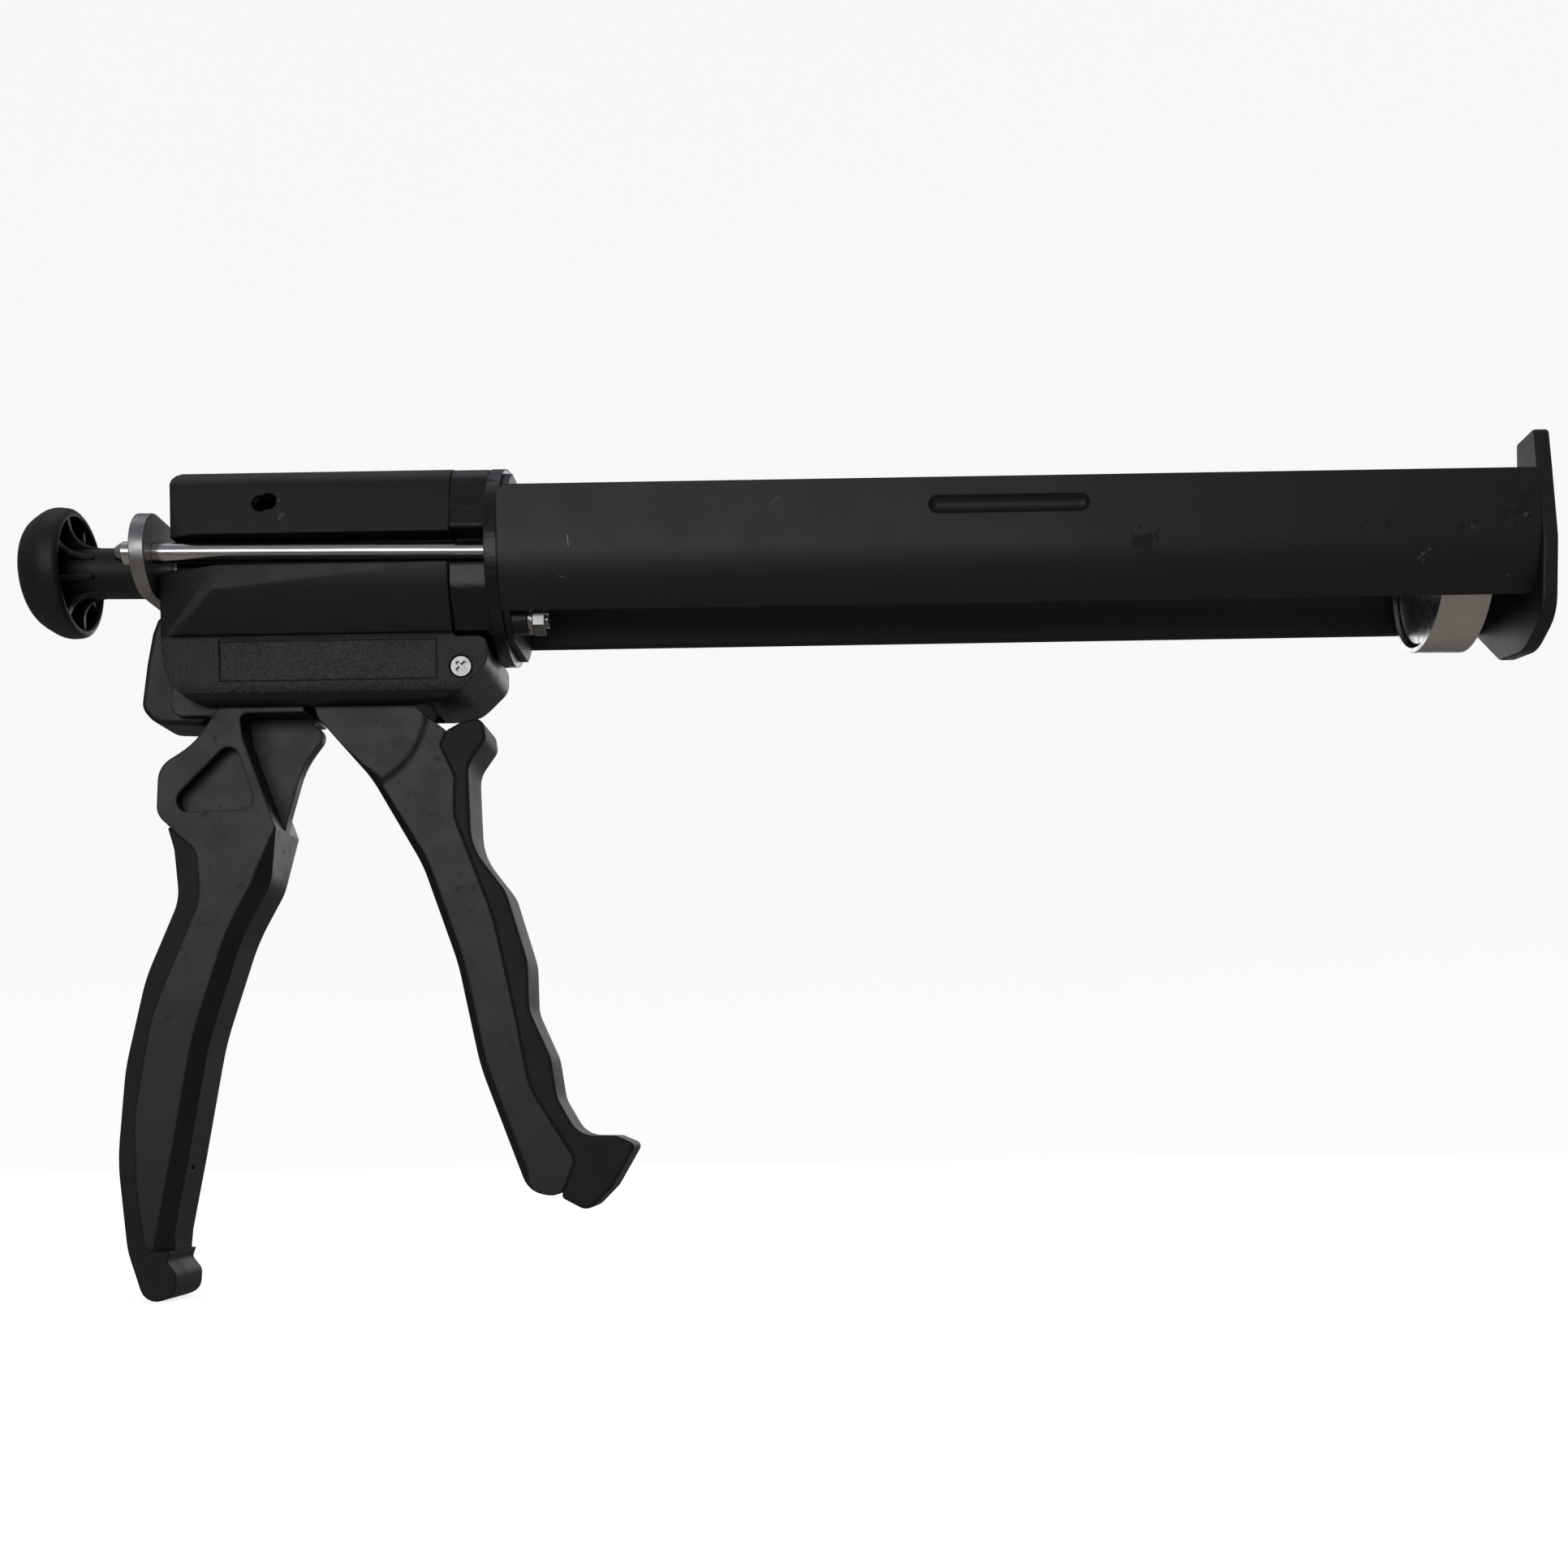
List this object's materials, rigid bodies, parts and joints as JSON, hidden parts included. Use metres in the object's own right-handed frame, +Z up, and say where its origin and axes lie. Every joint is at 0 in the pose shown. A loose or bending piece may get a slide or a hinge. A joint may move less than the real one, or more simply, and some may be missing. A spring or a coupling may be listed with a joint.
{
  "type": "caulking gun",
  "caption": "Hand-operated dual-rod cartridge gun with an open cradle, a forked front plate, a trigger-driven plunger and a release lever.",
  "frame": {"origin": "on the cartridge axis, at the front face of the collar's flange, where the cradle starts", "axes": "+X forward along the cartridge axis towards the nozzle, +Z up from the handle, +Y to the user's left"},
  "size_m": [0.4069, 0.0539, 0.2238],
  "materials": {
    "black_casting": "black glass-filled plastic moulding, satin",
    "soft_grip": "black over-moulded soft grip, matte",
    "cover_plastic": "black moulded plastic with a fine texture",
    "collar_plastic": "black moulded plastic, satin, with slight flow waves",
    "cradle_steel": "matte black powder coat on sheet steel, chipped near the front",
    "black_spacer": "black spacer",
    "zinc_small": "zinc plated steel fastener",
    "bush": "natural acetal bush",
    "pin_steel": "plain ground steel",
    "spring_steel": "bright spring wire",
    "rod_steel": "bright drawn steel rod, zinc plated, with fine lengthwise streaks",
    "zinc_plate": "zinc plated steel plate with a sheared edge",
    "piston_steel": "zinc plated pressed steel, soft sheen",
    "knob_plastic": "black moulded plastic, matte",
    "release_plastic": "black moulded plastic, satin"
  },
  "bodies": {
    "frame": {"handle_frame": "black_casting", "handle_grip": "soft_grip", "side_cover_right": "cover_plastic", "side_cover_left": "cover_plastic", "front_collar": "collar_plastic", "cover_screws": "zinc_small", "rod_bush_front": "bush", "rod_bush_rear": "bush", "cradle_wall_right": "cradle_steel", "cradle_wall_left": "cradle_steel", "cradle_rear_plate": "cradle_steel", "cradle_spacers": "black_spacer", "cradle_washers": "zinc_small", "cradle_bolts": "zinc_small", "cradle_nuts": "zinc_small", "front_plate": "cradle_steel", "trigger_sleeve": "pin_steel", "release_pin": "pin_steel", "brake_pin": "pin_steel", "drive_spring": "spring_steel", "brake_spring": "spring_steel"},
    "plunger": {"drive_rod": "rod_steel", "side_rod_right": "rod_steel", "side_rod_left": "rod_steel", "yoke_plate": "zinc_plate", "knob_shaft": "knob_plastic", "pull_knob": "knob_plastic", "piston_ring": "piston_steel", "piston_disc": "piston_steel", "piston_nut": "zinc_small"},
    "trigger": {"trigger_lever": "black_casting", "trigger_grip": "soft_grip", "trigger_bushes": "bush"},
    "grip_plates": {"grip_plates": "pin_steel"},
    "brake": {"brake_plate": "pin_steel"},
    "release": {"release_lever": "release_plastic"}
  },
  "joints": [
    {"name": "plunger_slide", "type": "slide", "parent": "frame", "child": "plunger", "axis": [0.9999, 0, -0.0122], "range_m": [-0.22, 0]},
    {"name": "trigger_pivot", "type": "hinge", "parent": "frame", "child": "trigger", "pos_m": [-0.0175, 0, -0.0275], "axis": [0, 1, 0], "range_deg": [0, 24], "stiffness_Nm_per_rad": 1, "springref_deg": -14.32},
    {"name": "drive_slide", "type": "slide", "parent": "frame", "child": "grip_plates", "axis": [0.9999, 0, -0.0122], "range_m": [0, 0.0137], "deforming": ["drive_spring"]},
    {"name": "release_pivot", "type": "hinge", "parent": "frame", "child": "release", "pos_m": [-0.086, 0, -0.0375], "axis": [0, 1, 0], "range_deg": [0, 7], "stiffness_Nm_per_rad": 0.3, "springref_deg": -11.46},
    {"name": "brake_tilt", "type": "hinge", "parent": "frame", "child": "brake", "pos_m": [-0.079, 0, 0.016], "axis": [0, -1, 0], "range_deg": [0, 5.8], "deforming": ["brake_spring"]}
  ],
  "couplings": [
    {"joint": "drive_slide", "follows": "trigger_pivot", "m_per_rad": 0.0325},
    {"joint": "brake_tilt", "follows": "release_pivot", "ratio": 0.8}
  ]
}
